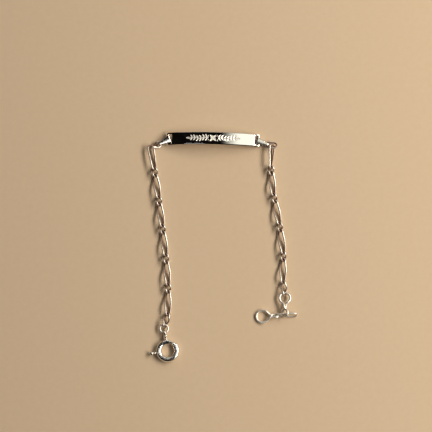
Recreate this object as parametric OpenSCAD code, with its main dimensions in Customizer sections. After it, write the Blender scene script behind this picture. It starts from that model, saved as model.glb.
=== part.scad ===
// Christening bracelet, lying open on a flat surface at z = 0, in millimetres.
// A curved name plate lies across the top. A tapered bail at each end of it holds a chain of
// long and short curb links. The left chain ends in a jump ring and a bolt ring clasp.
// The right chain ends in a figure-eight ring, a long extender link and an end ring.

/* [Name plate] */
// Straight distance between the two ends of the plate
plate_length = 24.8; // [22:0.2:28]
// Width of the plate
plate_width = 3.4; // [3:0.1:4.5]
// Thickness of the plate
plate_thickness = 0.7; // [0.5:0.05:0.9]
// Radius of the top face, which is curved to the wrist
plate_curve = 36; // [34:1:60]
// Radius of the four corners, seen from above
plate_corner = 0.6; // [0.2:0.1:1]
// Bevel along the long top edges
plate_bevel = 0.15; // [0.05:0.05:0.25]
// Metal left between a slot and the end of the plate
slot_rim = 0.42; // [0.3:0.02:0.6]
// Size of a slot along the plate
slot_width = 1; // [1:0.05:1.3]
// Size of a slot across the plate
slot_length = 2.3; // [2.3:0.05:2.6]

/* [Bails] */
// Thickness of the sheet that a bail is bent from
bail_sheet = 0.25; // [0.2:0.05:0.3]
// Width of a bail in the slot
bail_wide = 2; // [1.4:0.05:2]
// Width of a bail at the chain
bail_narrow = 0.7; // [0.6:0.05:0.75]
// Distance from the middle of the slot fold to the centre of the chain fold
bail_reach = 2.9; // [2.8:0.05:2.95]

/* [Chain] */
// Thickness of the link wire
wire = 0.48; // [0.4:0.02:0.5]
// Width of a link between the centres of its side wires
link_width = 1.5; // [1.4:0.05:1.7]
// Length of a long link between the centres of its end wires
long_link = 6.46; // [5:0.02:7]
// Length of a short link between the centres of its end wires
short_link = 2.5; // [2.4:0.1:3]
// Length of the link in the left bail
left_first_link = 2.95; // [2.85:0.05:3.05]
// Length of the link in the right bail
right_first_link = 2.75; // [2.75:0.05:2.9]
// Length of the last link of each chain
end_link = 3.8; // [3:0.1:3.8]
// Free play between two links that hang in each other
link_play = 0.08; // [0.05:0.01:0.12]
// Roll of a link's two ends out of the flat, which makes the curb
curb = 45; // [40:1:50]

/* [Clasp] */
// Outside diameter of the bolt ring
clasp_diameter = 6; // [5:0.5:7]
// Thickness of the bolt ring's tube
clasp_tube = 1.4; // [1.3:0.1:1.5]
// Thickness of the bolt that slides in the tube
bolt_wire = 0.8; // [0.7:0.05:0.9]
// Thickness of the tube's wall
clasp_wall = 0.25; // [0.2:0.05:0.25]
// Angle that the bolt turns about the ring's centre when its trigger is pulled
bolt_travel = 44; // [30:1:44]
// Diameter of the trigger's knob
knob = 1.1; // [0.8:0.1:1.2]
// Diameter of the jump ring between the centres of its wire
jump_ring = 2.1; // [1.9:0.1:2.4]

/* [Extender] */
// Diameter of the wire of the two figure-eight rings
eight_wire = 0.6; // [0.4:0.05:0.6]
// Radius of the figure-eight ring's big loop
eight_big = 1.4; // [1.2:0.05:1.5]
// Radius of the figure-eight ring's small loop
eight_small = 0.95; // [0.8:0.05:1]
// Distance between the centres of its two loops
eight_span = 3.95; // [3.7:0.05:4]
// Length of the extender link between the centres of its end wires
extender_link = 5.6; // [5:0.1:6.4]
// Width of the extender link between the centres of its side wires
extender_width = 1.3; // [1.2:0.05:1.5]
// Radius of the end ring's big loop
end_big = 1.62; // [1.4:0.02:2]
// Radius of the end ring's small loop
end_small = 0.65; // [0.6:0.05:0.8]
// Distance between the centres of its two loops
end_span = 3.36; // [3.2:0.05:3.8]

/* [Hidden] */
$fn = 48;
wire_r = wire / 2;
half_width = link_width / 2;
// How far the end wires of two joined links lie past each other
lap = wire + link_play;

// Where the plate lies: its centre, and its turn about Z
plate_at = [-2.25, 28.52, 0];
plate_turn = -1.3;
// Height of the plate's underside at its two ends, just clear of the bails below it
plate_end_height = bail_sheet + 0.08;
plate_axis_z = plate_end_height - sqrt(pow(plate_curve - plate_thickness, 2) - pow(plate_length / 2, 2));
// Height of the plate's top face over the rim side of a slot, the highest point inside a bail
slot_x = plate_length / 2 - slot_rim;
rim_top_z = plate_axis_z + sqrt(pow(plate_curve, 2) - pow(slot_x, 2));

// A bail row: its direction from the slot, the sideways lean of its chain end, and which end of
// the plate it is on
BAIL_DIRECTION = 0;
BAIL_LEAN = 1;
BAIL_SIDE = 2;
left_bail_row = [198, 9, -1];
right_bail_row = [-13, -9, 1];
// Distance from the rim to the middle of the fold in the slot
fold_from_rim = 0.51;
chain_fold_r = wire_r + 0.15 + bail_sheet / 2;
slot_fold_r = 0.22;
chain_fold_z = bail_sheet / 2 + chain_fold_r;
slot_fold_top = rim_top_z + 0.17 + bail_sheet / 2;

// A link row: distance between its end wires, direction about Z, roll at its first end and at
// its last end. Directions: 0 points along +X, and -90 points along -Y. Where the chain turns a
// corner, two more columns give how far the link's two ends lie past the joints there, and a third
// one how much its last end is raised so that the next link clears it
LENGTH = 0;
DIRECTION = 1;
ROLL_IN = 2;
ROLL_OUT = 3;
PAST_IN = 4;
PAST_OUT = 5;
RISE = 6;
past = lap / 2;
bail_past = past + 0.18;
left_rows = [
    [left_first_link, -155, 2, 72, bail_past, 0.09, 0.15],
    [long_link, -80, -12, -curb, 0.6, past],
    [short_link, -84, curb, -curb],
    [long_link, -80.5, curb, -curb],
    [short_link, -85, curb, -curb, past, 0.38],
    [long_link, -82, curb, -curb, 0.38, past],
    [short_link, -84, curb, -curb],
    [long_link, -83, curb, -curb],
    [short_link, -85, curb, -curb],
    [long_link, -85.4, curb, -curb],
    [short_link, -88, curb, -curb],
    [long_link, -91, curb, -curb],
    [end_link, -104, curb, -59]
];
right_rows = [
    [right_first_link, -6, 0, -13, bail_past, 1.18, 0.5],
    [long_link, -94.2, -35, -68, 0.09, 0.4],
    [short_link, -84, 25, -curb, 0.4, 0.5],
    [long_link, -84.5, curb, -curb, 0.5, past],
    [short_link, -79, curb, -curb],
    [long_link, -79, curb, -curb],
    [short_link, -83, curb, -curb],
    [long_link, -82.5, curb, -curb],
    [short_link, -91, curb, -curb],
    [long_link, -91, curb, -curb],
    [end_link, -82, curb, -60]
];

// The jump ring hangs in the end of the left chain, and the bolt ring's eye hangs in the jump ring
jump_past = 0.66;
jump_play = 0.1;
jump_z = 0.86;
clasp_z = clasp_tube / 2;
clasp_r = (clasp_diameter - clasp_tube) / 2;
bore_r = clasp_tube / 2 - clasp_wall;
gap_from = 42;
gap_to = 80;
bolt_from = 38;
bolt_to = 200;
trigger_angle = 190;
trigger_r = 0.2;
trigger_reach = 4.3;
trigger_slot_margin = 6;
eye_angle = 100;
eye_reach = 4.7;
eye_r = 0.8;
eye_hole_r = 0.44;
eye_thickness = 0.45;

// The figure-eight ring hangs in the end of the right chain, the extender link in the ring's
// small loop, and the end ring's small loop in the left end of the extender link
eight_past = 0.66;
eight_aside = 0.08;
eight_direction = -90;
eight_close = 0.4;
// Height of each run over or under the crossing, beyond half the wire
eight_lift = 0.16;
eight_roll = 45;
eight_z_in = 0.92;
eight_z_out = 1.33;
extender_from_eight = [0.25, -0.58, 0];
extender_direction = 183;
extender_roll = -62;
end_from_extender = [0.08, -0.015, 0];
end_direction = 1.5;
end_close = 1;
end_roll = -50;
end_z_in = 0.27;
end_z_out = 0.845;

// Small vector helpers
function unit(v) = v / norm(v);
function blend(a, b, t) = a + (b - a) * min(1, max(0, t));
function turned(v, angle) = [v.x * cos(angle) - v.y * sin(angle), v.x * sin(angle) + v.y * cos(angle), v.z];
// Points on an arc in a plane, from one angle to another in the given number of steps
function arc(centre, r, from, to, steps) =
    [for (i = [0 : steps]) let (t = blend(from, to, i / steps)) centre + r * [cos(t), sin(t)]];

// One ring of a wire's skin round the point p, for a wire running along t, with n across it
function skin(p, t, n, r, sides) =
    let (u = unit(n - t * (n * t)), v = cross(t, u))
    [for (k = [0 : sides - 1]) let (a = 360 * (k + 0.5) / sides) p + r * (cos(a) * u + sin(a) * v)];

// A closed solid through rings of equal length that follow each other round a loop
module closed_skin(rings) {
    n = len(rings);
    m = len(rings[0]);
    faces = [
        for (i = [0 : n - 1], k = [0 : m - 1])
            let (a = i * m + k, b = i * m + (k + 1) % m,
                 c = (i + 1) % n * m + k, d = (i + 1) % n * m + (k + 1) % m)
            each [[a, d, b], [a, c, d]]
    ];
    polyhedron(points = [for (ring = rings) each ring], faces = faces);
}

// A closed wire through the points of path, where each entry is [point, direction across]
module wire_loop(path, r, sides = 6) {
    n = len(path);
    rings = [
        for (i = [0 : n - 1])
            skin(path[i][0], unit(path[(i + 1) % n][0] - path[(i + n - 1) % n][0]), path[i][1], r, sides)
    ];
    closed_skin(rings);
}

// A flat outline point [along, across] lifted to height z and rolled about the long axis
function rolled(p, roll, z, lift = 0) =
    [[p.x, p.y * cos(roll) - lift * sin(roll), z + p.y * sin(roll) + lift * cos(roll)],
     [0, -sin(roll), cos(roll)]];

// Centre line of a link: two half-round ends joined by straight sides that twist from one roll
// to the other. It starts at x = 0 and ends at x = length
LINK_END_STEPS = 6;
function link_outline(length, width) =
    let (r = width / 2, far = arc([length - r, 0], r, -90, 90, LINK_END_STEPS),
         near = arc([r, 0], r, 90, 270, LINK_END_STEPS))
    concat(far, [[length / 2, r]], near, [[length / 2, -r]]);
function link_path(length, width, roll_in, roll_out, z_in, z_out) =
    [for (p = link_outline(length, width))
        let (t = (p.x - width / 2) / (length - width))
        rolled(p, blend(roll_in, roll_out, t), blend(z_in, z_out, p.x / length))];

// Joints between the links of a chain. Joint i lies between row i - 1 and row i, and the first
// one lies in the bail
function direction(angle) = [cos(angle), sin(angle), 0];
function past_in(row) = len(row) > PAST_IN ? row[PAST_IN] : past;
function past_out(row) = len(row) > PAST_OUT ? row[PAST_OUT] : past;
function rise(row) = len(row) > RISE ? row[RISE] : 0;
function link_step(row) = direction(row[DIRECTION]) * (row[LENGTH] - past_in(row) - past_out(row));
function joint_at(start, rows, i) =
    i == 0 ? start : joint_at(start, rows, i - 1) + link_step(rows[i - 1]);
function link_start(start, rows, i) =
    joint_at(start, rows, i) - direction(rows[i][DIRECTION]) * past_in(rows[i]);
function chain_end(start, rows) =
    let (last = rows[len(rows) - 1])
    link_start(start, rows, len(rows) - 1) + direction(last[DIRECTION]) * last[LENGTH];
// Height of a joint: the more steeply rolled of its two links rests on the surface
function resting(roll) = wire_r + half_width * abs(sin(roll));
function joint_z(rows, i) =
    i == 0 ? chain_fold_z
    : i == len(rows) ? resting(rows[i - 1][ROLL_OUT])
    : max(resting(rows[i - 1][ROLL_OUT]), resting(rows[i][ROLL_IN])) + rise(rows[i - 1]);

module chain_link(start, rows, i) {
    row = rows[i];
    path = link_path(row[LENGTH], link_width, row[ROLL_IN], row[ROLL_OUT],
                     joint_z(rows, i), joint_z(rows, i + 1));
    color("silver")
        translate(link_start(start, rows, i))
            rotate([0, 0, row[DIRECTION]])
                wire_loop(path, wire_r);
}

// Name plate: a bent bar with bevelled top edges and a slot near each end
module rounded_bar(length, width, r) {
    square([length - 2 * r, width], center = true);
    square([length, width - 2 * r], center = true);
    for (x = [-1, 1], y = [-1, 1])
        translate([x * (length / 2 - r), y * (width / 2 - r)]) circle(r = r);
}

module plate_section() {
    inner = plate_curve - plate_thickness;
    w = plate_width / 2;
    polygon([
        [inner, -w],
        [plate_curve - plate_bevel, -w],
        [plate_curve, plate_bevel - w],
        [plate_curve, w - plate_bevel],
        [plate_curve - plate_bevel, w],
        [inner, w]
    ]);
}

module name_plate() {
    half_angle = asin(plate_length / 2 / (plate_curve - plate_thickness)) + 2;
    color("silver")
        translate(plate_at) rotate([0, 0, plate_turn])
            difference() {
                intersection() {
                    translate([0, 0, plate_axis_z])
                        rotate([90, 0, 0]) rotate([0, 0, 90 - half_angle])
                            rotate_extrude(angle = 2 * half_angle, $fn = 360) plate_section();
                    linear_extrude(2 * plate_curve) rounded_bar(plate_length, plate_width, plate_corner);
                }
                for (side = [-1, 1])
                    translate([side * (slot_x - slot_width / 2), 0, -1])
                        linear_extrude(2 * plate_curve) rounded_bar(slot_width, slot_length, 0.2);
            }
}

// Bail: a closed strap that passes through the slot, under the rim and round the first link
function bail_origin(row) =
    plate_at + turned([row[BAIL_SIDE] * (slot_x - fold_from_rim), 0, 0], plate_turn);
function bail_path() =
    let (across = [slot_fold_r - bail_reach, slot_fold_top - slot_fold_r - chain_fold_z],
         slope = atan2(across.y, across.x) - 90 + asin((chain_fold_r - slot_fold_r) / norm(across)))
    concat(
        arc([bail_reach, chain_fold_z], chain_fold_r, -90, slope, 7),
        arc([slot_fold_r, slot_fold_top - slot_fold_r], slot_fold_r, slope, 180, 3),
        arc([slot_fold_r, bail_sheet / 2 + slot_fold_r], slot_fold_r, 180, 270, 3)
    );
// The four corners of the strap where its middle runs along t through the point p
function strap_corners(p, t, lean) =
    let (n = [-t.y, t.x] * bail_sheet / 2,
         w = blend(bail_wide, bail_narrow, p.x / bail_reach) / 2,
         shift = min(p.x, bail_reach) * tan(lean))
    [for (c = [[1, 1], [1, -1], [-1, -1], [-1, 1]])
        [p.x + c[0] * n.x, shift + c[1] * w, p.y + c[0] * n.y]];
module bail(row) {
    path = bail_path();
    n = len(path);
    color("silver")
        translate(bail_origin(row)) rotate([0, 0, row[BAIL_DIRECTION]])
            closed_skin([
                for (i = [0 : n - 1])
                    strap_corners(path[i], unit(path[(i + 1) % n] - path[(i + n - 1) % n]), row[BAIL_LEAN])
            ]);
}
// Centre of the wire in a bail's chain fold, where the first link of a chain starts
function bail_end(row) =
    bail_origin(row) + turned([bail_reach, bail_reach * tan(row[BAIL_LEAN]), 0], row[BAIL_DIRECTION]);
function chain_start(row, rows) = bail_end(row) + direction(rows[0][DIRECTION]) * past;
left_start = chain_start(left_bail_row, left_rows);
right_start = chain_start(right_bail_row, right_rows);

// Jump ring
jump_at = chain_end(left_start, left_rows)
    + direction(left_rows[len(left_rows) - 1][DIRECTION]) * (jump_ring / 2 - jump_past)
    + [0, 0, jump_z];
module jump_ring() {
    color("silver")
        translate(jump_at) rotate_extrude() translate([jump_ring / 2, 0]) circle(r = wire_r);
}

clasp_at = [jump_at.x, jump_at.y, clasp_z] - direction(eye_angle) * (jump_ring / 2 + jump_play + eye_reach);

// Bolt ring: a bent tube with a gap, a slot for the trigger and an eye for the jump ring
module ring_sector(from, to) {
    rotate([0, 0, from]) rotate_extrude(angle = to - from, $fn = 96) translate([clasp_r, 0]) children();
}

module clasp_eye() {
    rotate([0, 0, eye_angle]) rotate([90, 0, 0]) translate([0, 0, -eye_thickness / 2])
        linear_extrude(eye_thickness)
            difference() {
                union() {
                    translate([eye_reach, eye_r - clasp_tube / 2]) circle(r = eye_r);
                    translate([clasp_r + bore_r + clasp_wall / 2, -0.4])
                        square([eye_reach - clasp_r - bore_r - clasp_wall / 2, 1]);
                }
                translate([eye_reach, eye_r - clasp_tube / 2]) circle(r = eye_hole_r);
            }
}

module bolt_ring() {
    color("silver")
        translate(clasp_at)
            difference() {
                union() {
                    ring_sector(gap_to, 360 + gap_from) circle(r = clasp_tube / 2);
                    clasp_eye();
                }
                ring_sector(gap_to - 5, 360 + gap_from + 5) circle(r = bore_r);
                ring_sector(trigger_angle - trigger_slot_margin,
                            trigger_angle + bolt_travel + trigger_slot_margin)
                    translate([0, -trigger_r - 0.05]) square([clasp_tube, 2 * trigger_r + 0.1]);
            }
}

// Bolt: the curved bar that closes the gap, with its trigger stem and knob
module bolt() {
    color("silver")
        translate(clasp_at) {
            ring_sector(bolt_from, bolt_to) circle(r = bolt_wire / 2);
            rotate([0, 0, trigger_angle]) {
                translate([clasp_r, 0, 0]) rotate([0, 90, 0])
                    cylinder(r = trigger_r, h = trigger_reach - clasp_r);
                translate([trigger_reach, 0, 0]) sphere(d = knob);
            }
        }
}

// Centre line of a figure of eight: a big loop round the origin and a small loop at x = span,
// joined by two straight runs that cross. The runs pass over each other at the crossing. At
// close = 1 the loops are drops that the runs touch, and less than 1 closes them to rounder rings
EIGHT_STEPS = 12;
function eight_outline(big, small, span, close) =
    let (cross_at = span * big / (big + small), open = close * acos((big + small) / span))
    concat(
        [for (p = arc([0, 0], big, open, 360 - open, EIGHT_STEPS)) [p.x, p.y, 0]],
        [[cross_at, 0, 1]],
        [for (p = arc([span, 0], small, 180 - open, open - 180, EIGHT_STEPS)) [p.x, p.y, 0]],
        [[cross_at, 0, -1]]
    );
// Its small loop is rolled about the long axis, and its height runs from z_in at the end of the
// big loop to z_out at the centre of the small one
function eight_path(big, small, span, close, roll, z_in, z_out) =
    let (cross_at = span * big / (big + small), lift = eight_wire / 2 + eight_lift)
    [for (p = eight_outline(big, small, span, close))
        rolled([p.x, p.y], roll * min(1, max(0, (p.x - big) / (span - small - big))),
               z_in + (z_out - z_in) * (p.x + big) / (span + big), lift * p.z)];

right_last = right_rows[len(right_rows) - 1][DIRECTION];
eight_at = chain_end(right_start, right_rows) - direction(right_last) * eight_past
    + direction(right_last + 90) * eight_aside + direction(eight_direction) * eight_big;
module figure_eight_ring() {
    color("silver")
        translate(eight_at) rotate([0, 0, eight_direction])
            wire_loop(eight_path(eight_big, eight_small, eight_span, eight_close, eight_roll,
                                 eight_z_in, eight_z_out),
                      eight_wire / 2);
}

extender_at = eight_at + direction(eight_direction) * eight_span + extender_from_eight;
module extender_link() {
    z = wire_r + extender_width / 2 * abs(sin(extender_roll));
    path = link_path(extender_link, extender_width, extender_roll, extender_roll, z, z);
    color("silver")
        translate(extender_at) rotate([0, 0, extender_direction]) translate([-extender_link / 2, 0, 0])
            wire_loop(path, wire_r);
}

end_at = extender_at + direction(extender_direction) * extender_link / 2 + end_from_extender
    - direction(end_direction) * end_span;
module end_ring() {
    color("silver")
        translate(end_at) rotate([0, 0, end_direction])
            wire_loop(eight_path(end_big, end_small, end_span, end_close, end_roll, end_z_in, end_z_out),
                      eight_wire / 2);
}

name_plate();
bail(left_bail_row);  // left_bail
bail(right_bail_row);  // right_bail
for (i = [0 : len(left_rows) - 1])
    chain_link(left_start, left_rows, i);
for (i = [0 : len(right_rows) - 1])
    chain_link(right_start, right_rows, i);
jump_ring();
bolt_ring();
bolt();
figure_eight_ring();
extender_link();
end_ring();
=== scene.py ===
"""Christening bracelet lying open on a pale floor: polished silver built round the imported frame.

Lengths in the tables are in millimetres, and MM turns them into metres. The tables of links, bails
and rings repeat those of the part's source, so that every piece lies where its solid does.
"""

import math

import bmesh
import bpy
import numpy as np
from mathutils import Matrix, Vector


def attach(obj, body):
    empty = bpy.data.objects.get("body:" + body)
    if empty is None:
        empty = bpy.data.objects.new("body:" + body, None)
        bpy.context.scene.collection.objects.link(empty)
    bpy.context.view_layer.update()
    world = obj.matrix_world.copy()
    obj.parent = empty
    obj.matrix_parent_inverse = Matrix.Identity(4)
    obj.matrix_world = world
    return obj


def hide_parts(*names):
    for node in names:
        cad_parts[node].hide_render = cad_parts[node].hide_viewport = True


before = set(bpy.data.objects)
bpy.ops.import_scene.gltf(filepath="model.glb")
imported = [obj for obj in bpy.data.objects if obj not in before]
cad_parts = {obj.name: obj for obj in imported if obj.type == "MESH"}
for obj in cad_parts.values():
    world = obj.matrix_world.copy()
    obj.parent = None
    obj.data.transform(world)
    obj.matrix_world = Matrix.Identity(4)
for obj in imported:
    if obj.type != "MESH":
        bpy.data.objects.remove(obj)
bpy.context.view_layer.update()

MM = 0.001
BODY = "bracelet"
SHARP_ANGLE = math.radians(35)

# Sizes in millimetres and angles in degrees
PLATE_LENGTH, PLATE_WIDTH, PLATE_THICKNESS = 24.8, 3.4, 0.7
PLATE_CURVE, PLATE_CORNER, PLATE_BEVEL = 36.0, 0.6, 0.15
PLATE_AT, PLATE_TURN = np.array([-2.25, 28.52, 0.0]), -1.3
SLOT_RIM, SLOT_WIDTH, SLOT_LENGTH, SLOT_CORNER = 0.42, 1.0, 2.3, 0.2
SLOT_BEVEL = 0.06
# Bevels of the underside, at the outline and at the slots
UNDER_BEVEL, UNDER_SLOT_BEVEL = 0.06, 0.04
CUT_DEPTH = 0.11
# Height of the plate's ends above the bails' straps under them
PLATE_PLAY = 0.08

BAIL_SHEET, BAIL_WIDE, BAIL_NARROW, BAIL_REACH = 0.25, 2.0, 0.7, 2.9
FOLD_FROM_RIM, SLOT_FOLD = 0.51, 0.22
# Free space round the link's wire in the chain fold, and over the rim in the slot fold
CHAIN_FOLD_PLAY, SLOT_FOLD_PLAY = 0.15, 0.17
BAIL_EDGE = 0.09

WIRE, LINK_WIDTH = 0.48, 1.5
LONG, SHORT, LEFT_FIRST, RIGHT_FIRST, END = 6.46, 2.5, 2.95, 2.75, 3.8
WIRE_R, HALF_WIDTH = WIRE / 2, LINK_WIDTH / 2
CURB = 45
LINK_PLAY = 0.08
# How far a link's end wire lies past a joint, and past the first joint in a bail
PAST = (WIRE + LINK_PLAY) / 2
BAIL_PAST = PAST + 0.18
# How far the smooth wires stay inside the solids' outline
SKIN = 0.004
# Length over which painted shade at the joints, partly tarnish, fades from a link's end
END_SHADE_AND_TARNISH_REACH = 1.3

CLASP_R, TUBE_R, BORE_R, BOLT_R = 2.3, 0.7, 0.45, 0.4
LIP_ROUND, EYE_EDGE = 0.07, 0.12
GAP_FROM, GAP_TO = 42, 80
BOLT_FROM, BOLT_TO = 38, 200
TRIGGER_ANGLE, TRIGGER_REACH, TRIGGER_R, KNOB_R = 190, 4.3, 0.2, 0.55
TRIGGER_SLOT = (184, 240)
TRIGGER_SLOT_HALF, TRIGGER_SLOT_END = 0.25, 4.8
EYE_ANGLE, EYE_REACH, EYE_R, EYE_HOLE_R, EYE_THICKNESS = 100, 4.7, 0.8, 0.44, 0.45
JUMP_R, JUMP_PAST, JUMP_PLAY, JUMP_Z = 1.05, 0.66, 0.1, 0.86

EIGHT_WIRE_R, EIGHT_LIFT = 0.3, 0.16
EIGHT_BIG, EIGHT_SMALL, EIGHT_SPAN, EIGHT_CLOSE = 1.4, 0.95, 3.95, 0.4
EIGHT_PAST, EIGHT_ASIDE = 0.66, 0.08
EIGHT_TURN, EIGHT_ROLL, EIGHT_Z = -90, 45, (0.92, 1.33)
EXTENDER, EXTENDER_WIDTH = 5.6, 1.3
EXTENDER_FROM_EIGHT = np.array([0.25, -0.58, 0])
EXTENDER_TURN, EXTENDER_ROLL = 183, -62
END_BIG, END_SMALL, END_SPAN, END_CLOSE = 1.62, 0.65, 3.36, 1.0
END_FROM_EXTENDER = np.array([0.08, -0.015, 0])
END_TURN, END_ROLL, END_Z = 1.5, -50, (0.27, 0.845)


def direction(degrees):
    """Unit vector at an angle about Z."""
    a = math.radians(degrees)
    return np.array([math.cos(a), math.sin(a), 0.0])


def turned(points, degrees):
    """Points turned about Z: x' = x cos a - y sin a, y' = x sin a + y cos a."""
    a = math.radians(degrees)
    turn = np.array([[math.cos(a), math.sin(a), 0], [-math.sin(a), math.cos(a), 0], [0, 0, 1]])
    return np.asarray(points, float) @ turn


def smooth(t):
    """Smoothstep, 3t^2 - 2t^3, of t held between 0 and 1."""
    t = np.clip(t, 0, 1)
    return t * t * (3 - 2 * t)


def mix(a, b, t):
    """Straight blend from a to b as t goes from 0 to 1."""
    return a + (b - a) * t


# Meshes
def grid_quads(rows, columns, wrap_rows=False, wrap_columns=False):
    """Corner numbers of the quads of a grid, in the order (i, k), (i, k+1), (i+1, k+1), (i+1, k)."""
    i = np.arange(rows if wrap_rows else rows - 1)
    k = np.arange(columns if wrap_columns else columns - 1)
    i, k = np.meshgrid(i, k, indexing="ij")
    j, m = (i + 1) % rows, (k + 1) % columns
    return np.stack([i * columns + k, i * columns + m, j * columns + m, j * columns + k], -1).reshape(-1, 4)


def make_piece(name, parts, material, body, nodes, attributes=None, weld=0.0):
    """One mesh object from a list of (vertices in mm, faces), with its place in its mesh."""
    verts, faces, start = [], [], 0
    for v, f in parts:
        verts.append(np.asarray(v, float).reshape(-1, 3))
        faces += [tuple(int(n) + start for n in face) for face in f]
        start += len(verts[-1])
    mesh = bpy.data.meshes.new(name)
    mesh.from_pydata((np.concatenate(verts) * MM).tolist(), [], faces)
    for key, values in (attributes or {}).items():
        layer = mesh.attributes.new(key, "FLOAT", "POINT")
        layer.data.foreach_set("value", np.asarray(values, np.float32).reshape(-1))
    if weld:
        work = bmesh.new()
        work.from_mesh(mesh)
        bmesh.ops.remove_doubles(work, verts=work.verts, dist=weld * MM)
        work.to_mesh(mesh)
        work.free()
    mesh.validate()
    mesh.polygons.foreach_set("use_smooth", np.ones(len(mesh.polygons), bool))
    mesh.set_sharp_from_angle(angle=SHARP_ANGLE)
    mesh.materials.append(material)
    piece = bpy.data.objects.new(name, mesh)
    bpy.context.scene.collection.objects.link(piece)
    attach(piece, body)
    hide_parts(*nodes)
    return piece


def tangents(path, closed):
    """Unit tangents of a path by differences between the neighbours of each point."""
    if closed:
        t = np.roll(path, -1, 0) - np.roll(path, 1, 0)
    else:
        t = np.gradient(path, axis=0)
    return t / np.linalg.norm(t, axis=1, keepdims=True)


def sweep(path, across, profile, closed=True):
    """A profile carried along a path: p + x u + y v, with u across the path and v = t x u.

    profile is (M, 2), or (N, M, 2) where it changes along the path, counter-clockwise about t."""
    t = tangents(path, closed)
    u = across - t * np.sum(t * across, 1, keepdims=True)
    u /= np.linalg.norm(u, axis=1, keepdims=True)
    v = np.cross(t, u)
    profile = np.broadcast_to(profile, (len(path),) + np.shape(profile)[-2:])
    verts = path[:, None] + profile[..., :1] * u[:, None] + profile[..., 1:] * v[:, None]
    rows, columns = verts.shape[:2]
    faces = [tuple(q) for q in grid_quads(rows, columns, closed, True)]
    if not closed:
        faces.append(tuple(range(columns - 1, -1, -1)))
        faces.append(tuple((rows - 1) * columns + k for k in range(columns)))
    return verts, faces


def circle(r, sides):
    """Points of a circle, counter-clockwise."""
    a = np.arange(sides) / sides * 2 * math.pi
    return np.stack([r * np.cos(a), r * np.sin(a)], -1)


def rounded_box(half_x, half_y, r, per_corner=5):
    """A rectangle with rounded corners, counter-clockwise. Its half sizes may be arrays."""
    a = np.linspace(0, math.pi / 2, per_corner)
    corner = np.stack([np.cos(a), np.sin(a)], -1) * r
    out = []
    for q, (sx, sy) in enumerate([(1, 1), (-1, 1), (-1, -1), (1, -1)]):
        c, s = math.cos(q * math.pi / 2), math.sin(q * math.pi / 2)
        arc = corner @ np.array([[c, s], [-s, c]])
        centre = np.stack(np.broadcast_arrays((half_x - r) * sx, (half_y - r) * sy), -1)
        out.append(centre[..., None, :] + arc)
    return np.concatenate(out, axis=-2)


def lathe(origin, axis, side, stations, sides=32):
    """A shape turned about an axis: at each (along, radius) station a circle across the axis."""
    stations = np.asarray(stations, float)
    axis, side = np.asarray(axis, float), np.asarray(side, float)
    other = np.cross(axis, side)
    a = np.arange(sides) / sides * 2 * math.pi
    ring = np.cos(a)[:, None] * side + np.sin(a)[:, None] * other
    verts = origin + stations[:, :1, None] * axis + stations[:, 1:, None] * ring[None]
    faces = [tuple(q) for q in grid_quads(len(stations), sides, False, True)]
    faces.append(tuple(range(sides - 1, -1, -1)))
    faces.append(tuple((len(stations) - 1) * sides + k for k in range(sides)))
    return verts, faces


# Parts of materials
def new_group(name, inputs, outputs):
    """An empty shader node group with float or vector inputs and outputs."""
    group = bpy.data.node_groups.new(name, "ShaderNodeTree")
    for label, kind, value in inputs:
        socket = group.interface.new_socket(name=label, in_out="INPUT", socket_type=kind)
        if value is not None:
            socket.default_value = value
    for label, kind in outputs:
        group.interface.new_socket(name=label, in_out="OUTPUT", socket_type=kind)
    return group, group.nodes.new("NodeGroupInput"), group.nodes.new("NodeGroupOutput")


def noise(tree, vector, scale, detail=2.0, rough=0.5):
    """A noise texture on a vector, with its plain values set."""
    node = tree.nodes.new("ShaderNodeTexNoise")
    node.inputs["Detail"].default_value = detail
    node.inputs["Roughness"].default_value = rough
    node.inputs["Scale"].default_value = scale
    tree.links.new(vector, node.inputs["Vector"])
    return node.outputs["Fac"]


def math_node(tree, operation, a, b=0.0, clamp=False):
    """One Math node. a and b are sockets or numbers."""
    node = tree.nodes.new("ShaderNodeMath")
    node.operation = operation
    node.use_clamp = clamp
    for socket, value in zip(node.inputs, (a, b)):
        if isinstance(value, bpy.types.NodeSocket):
            tree.links.new(value, socket)
        else:
            socket.default_value = value
    return node.outputs[0]


def ramp(tree, value, low, high, out_low=0.0, out_high=1.0):
    """A smooth step of a value from low to high."""
    node = tree.nodes.new("ShaderNodeMapRange")
    node.interpolation_type = "SMOOTHSTEP"
    tree.links.new(value, node.inputs["Value"])
    for label, number in (("From Min", low), ("From Max", high), ("To Min", out_low), ("To Max", out_high)):
        node.inputs[label].default_value = number
    return node.outputs["Result"]


def handling_wear_group():
    """Hairline scratches and soft smudges that years of handling leave on polished silver.

    Scratches are thin bands where a stretched noise passes its middle value, turned three ways."""
    group, start, end = new_group(
        "handling wear",
        [("Vector", "NodeSocketVector", None), ("Scratches", "NodeSocketFloat", 1.0)],
        [("Smudge", "NodeSocketFloat"), ("Scratch", "NodeSocketFloat")],
    )
    total = None
    for turn, stretch in ((0.35, 14.0), (-0.9, 9.0), (1.9, 11.0)):
        place = group.nodes.new("ShaderNodeMapping")
        place.inputs["Rotation"].default_value = (0.0, 0.0, turn)
        place.inputs["Scale"].default_value = (1.0, stretch, stretch)
        group.links.new(start.outputs["Vector"], place.inputs["Vector"])
        value = noise(group, place.outputs["Vector"], 190.0, 3.0)
        off = math_node(group, "ABSOLUTE", math_node(group, "SUBTRACT", value, 0.5))
        line = ramp(group, off, 0.004, 0.0)
        patch = ramp(group, noise(group, place.outputs["Vector"], 60.0, 1.0), 0.5, 0.62)
        line = math_node(group, "MULTIPLY", line, patch)
        total = line if total is None else math_node(group, "MAXIMUM", total, line)
    group.links.new(math_node(group, "MULTIPLY", total, start.outputs["Scratches"]), end.inputs["Scratch"])
    smudge = ramp(group, noise(group, start.outputs["Vector"], 420.0, 4.0, 0.6), 0.42, 0.72)
    group.links.new(smudge, end.inputs["Smudge"])
    return group


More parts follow.
